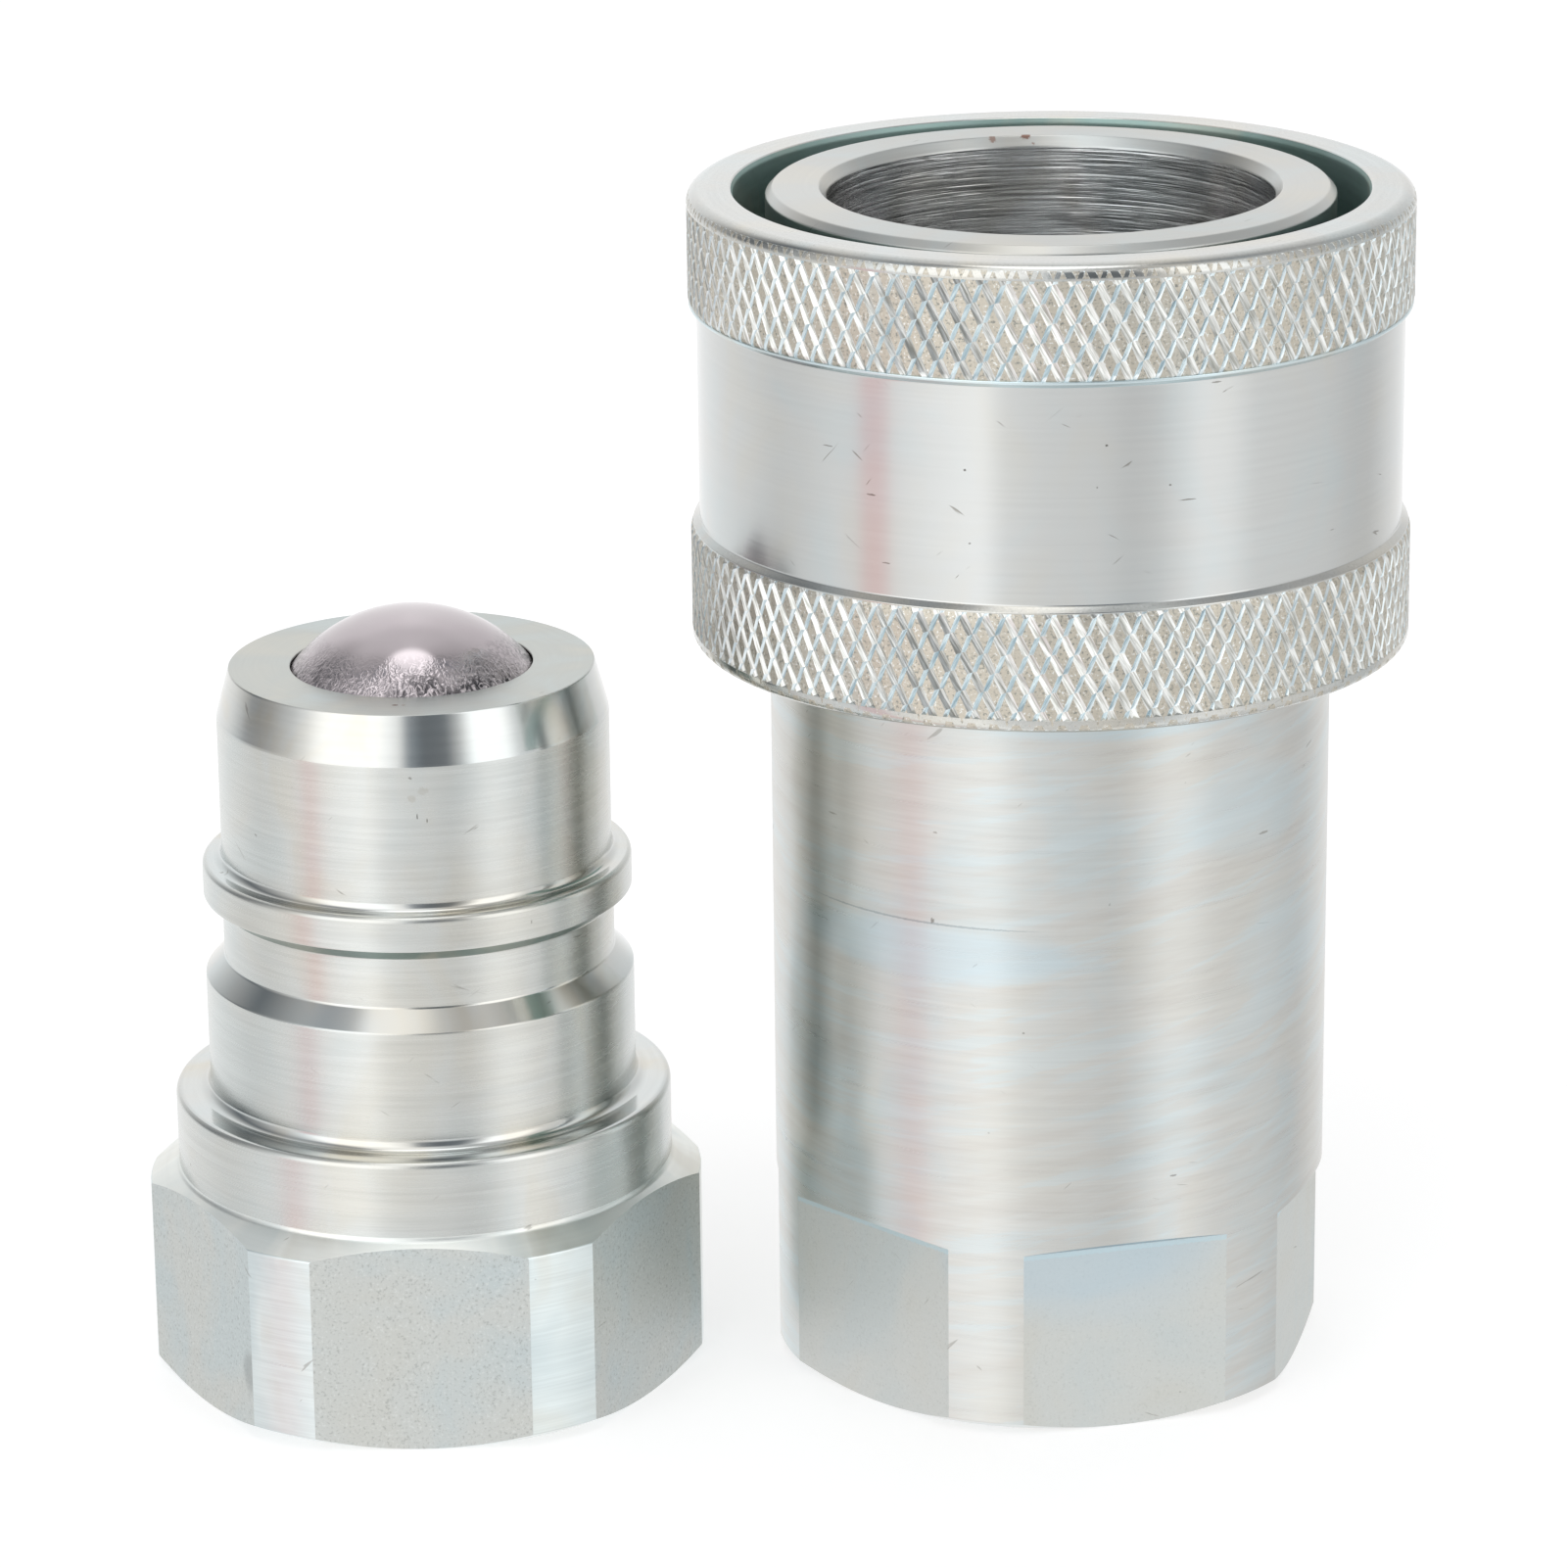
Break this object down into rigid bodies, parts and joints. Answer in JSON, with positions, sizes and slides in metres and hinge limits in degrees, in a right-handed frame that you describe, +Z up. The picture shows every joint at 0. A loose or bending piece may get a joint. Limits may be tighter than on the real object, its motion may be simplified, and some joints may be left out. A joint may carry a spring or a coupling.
{
  "type": "hydraulic quick coupler",
  "caption": "Hydraulic quick coupler, uncoupled: a socket with a knurled pull-back locking sleeve beside its plug with a ball valve in the nose.",
  "frame": {"origin": "on the socket's axis, in the plane of its port face, on which both halves stand", "axes": "+Z up along the socket's axis towards its mouth; the plug's axis is parallel to it, on the -X side"},
  "size_m": [0.0665, 0.0372, 0.0631],
  "materials": {
    "zinc_body": "turned steel with bright clear zinc plate",
    "zinc_sleeve": "turned and knurled steel with bright clear zinc plate",
    "polished_ball": "polished hardened steel",
    "spring_steel": "drawn spring wire",
    "seal_rubber": "moulded nitrile rubber",
    "backup_plastic": "turned fluoropolymer",
    "guide_steel": "stamped and turned steel, plated"
  },
  "bodies": {
    "socket": {"socket_rear_body": "zinc_body", "socket_front_body": "zinc_body", "sleeve_stop_ring": "spring_steel", "nose_seal": "seal_rubber", "backup_ring": "backup_plastic", "body_joint_o_ring": "seal_rubber", "socket_valve_guide": "guide_steel", "socket_valve_spring": "spring_steel", "sleeve_spring": "spring_steel"},
    "sleeve": {"sleeve": "zinc_sleeve"},
    "socket_valve": {"socket_valve_ball": "polished_ball"},
    "plug": {"plug_body": "zinc_body", "plug_valve_guide": "guide_steel", "plug_circlip": "spring_steel", "plug_valve_spring": "spring_steel"},
    "plug_valve": {"plug_valve_ball": "polished_ball"},
    "lock_1": {"locking_ball_1": "polished_ball"},
    "lock_2": {"locking_ball_2": "polished_ball"},
    "lock_3": {"locking_ball_3": "polished_ball"},
    "lock_4": {"locking_ball_4": "polished_ball"},
    "lock_5": {"locking_ball_5": "polished_ball"},
    "lock_6": {"locking_ball_6": "polished_ball"},
    "lock_7": {"locking_ball_7": "polished_ball"},
    "lock_8": {"locking_ball_8": "polished_ball"}
  },
  "joints": [
    {"name": "sleeve_slide", "type": "slide", "parent": "socket", "child": "sleeve", "axis": [0, 0, -1], "range_m": [0, 0.0055], "stiffness_N_per_m": 4000, "springref_m": -0.005, "deforming": ["sleeve_spring"]},
    {"name": "lock_1_slide", "type": "slide", "parent": "socket", "child": "lock_1", "axis": [0.9239, 0.3827, 0], "range_m": [0, 0.000975]},
    {"name": "lock_2_slide", "type": "slide", "parent": "socket", "child": "lock_2", "axis": [0.3827, 0.9239, 0], "range_m": [0, 0.000975]},
    {"name": "lock_3_slide", "type": "slide", "parent": "socket", "child": "lock_3", "axis": [-0.3827, 0.9239, 0], "range_m": [0, 0.000975]},
    {"name": "lock_4_slide", "type": "slide", "parent": "socket", "child": "lock_4", "axis": [-0.9239, 0.3827, 0], "range_m": [0, 0.000975]},
    {"name": "lock_5_slide", "type": "slide", "parent": "socket", "child": "lock_5", "axis": [-0.9239, -0.3827, 0], "range_m": [0, 0.000975]},
    {"name": "lock_6_slide", "type": "slide", "parent": "socket", "child": "lock_6", "axis": [-0.3827, -0.9239, 0], "range_m": [0, 0.000975]},
    {"name": "lock_7_slide", "type": "slide", "parent": "socket", "child": "lock_7", "axis": [0.3827, -0.9239, 0], "range_m": [0, 0.000975]},
    {"name": "lock_8_slide", "type": "slide", "parent": "socket", "child": "lock_8", "axis": [0.9239, -0.3827, 0], "range_m": [0, 0.000975]},
    {"name": "socket_valve_slide", "type": "slide", "parent": "socket", "child": "socket_valve", "axis": [0, 0, -1], "range_m": [0, 0.0036], "stiffness_N_per_m": 1500, "springref_m": -0.004, "deforming": ["socket_valve_spring"]},
    {"name": "plug_lift", "type": "slide", "parent": "socket", "child": "plug", "axis": [0, 0, 1], "range_m": [0, 0.07]},
    {"name": "plug_valve_slide", "type": "slide", "parent": "plug", "child": "plug_valve", "axis": [0, 0, -1], "range_m": [0, 0.0036], "stiffness_N_per_m": 1500, "springref_m": -0.004, "deforming": ["plug_valve_spring"]}
  ],
  "couplings": [
    {"joint": "lock_1_slide", "follows": "sleeve_slide", "ratio": 0.17727},
    {"joint": "lock_2_slide", "follows": "sleeve_slide", "ratio": 0.17727},
    {"joint": "lock_3_slide", "follows": "sleeve_slide", "ratio": 0.17727},
    {"joint": "lock_4_slide", "follows": "sleeve_slide", "ratio": 0.17727},
    {"joint": "lock_5_slide", "follows": "sleeve_slide", "ratio": 0.17727},
    {"joint": "lock_6_slide", "follows": "sleeve_slide", "ratio": 0.17727},
    {"joint": "lock_7_slide", "follows": "sleeve_slide", "ratio": 0.17727},
    {"joint": "lock_8_slide", "follows": "sleeve_slide", "ratio": 0.17727}
  ]
}
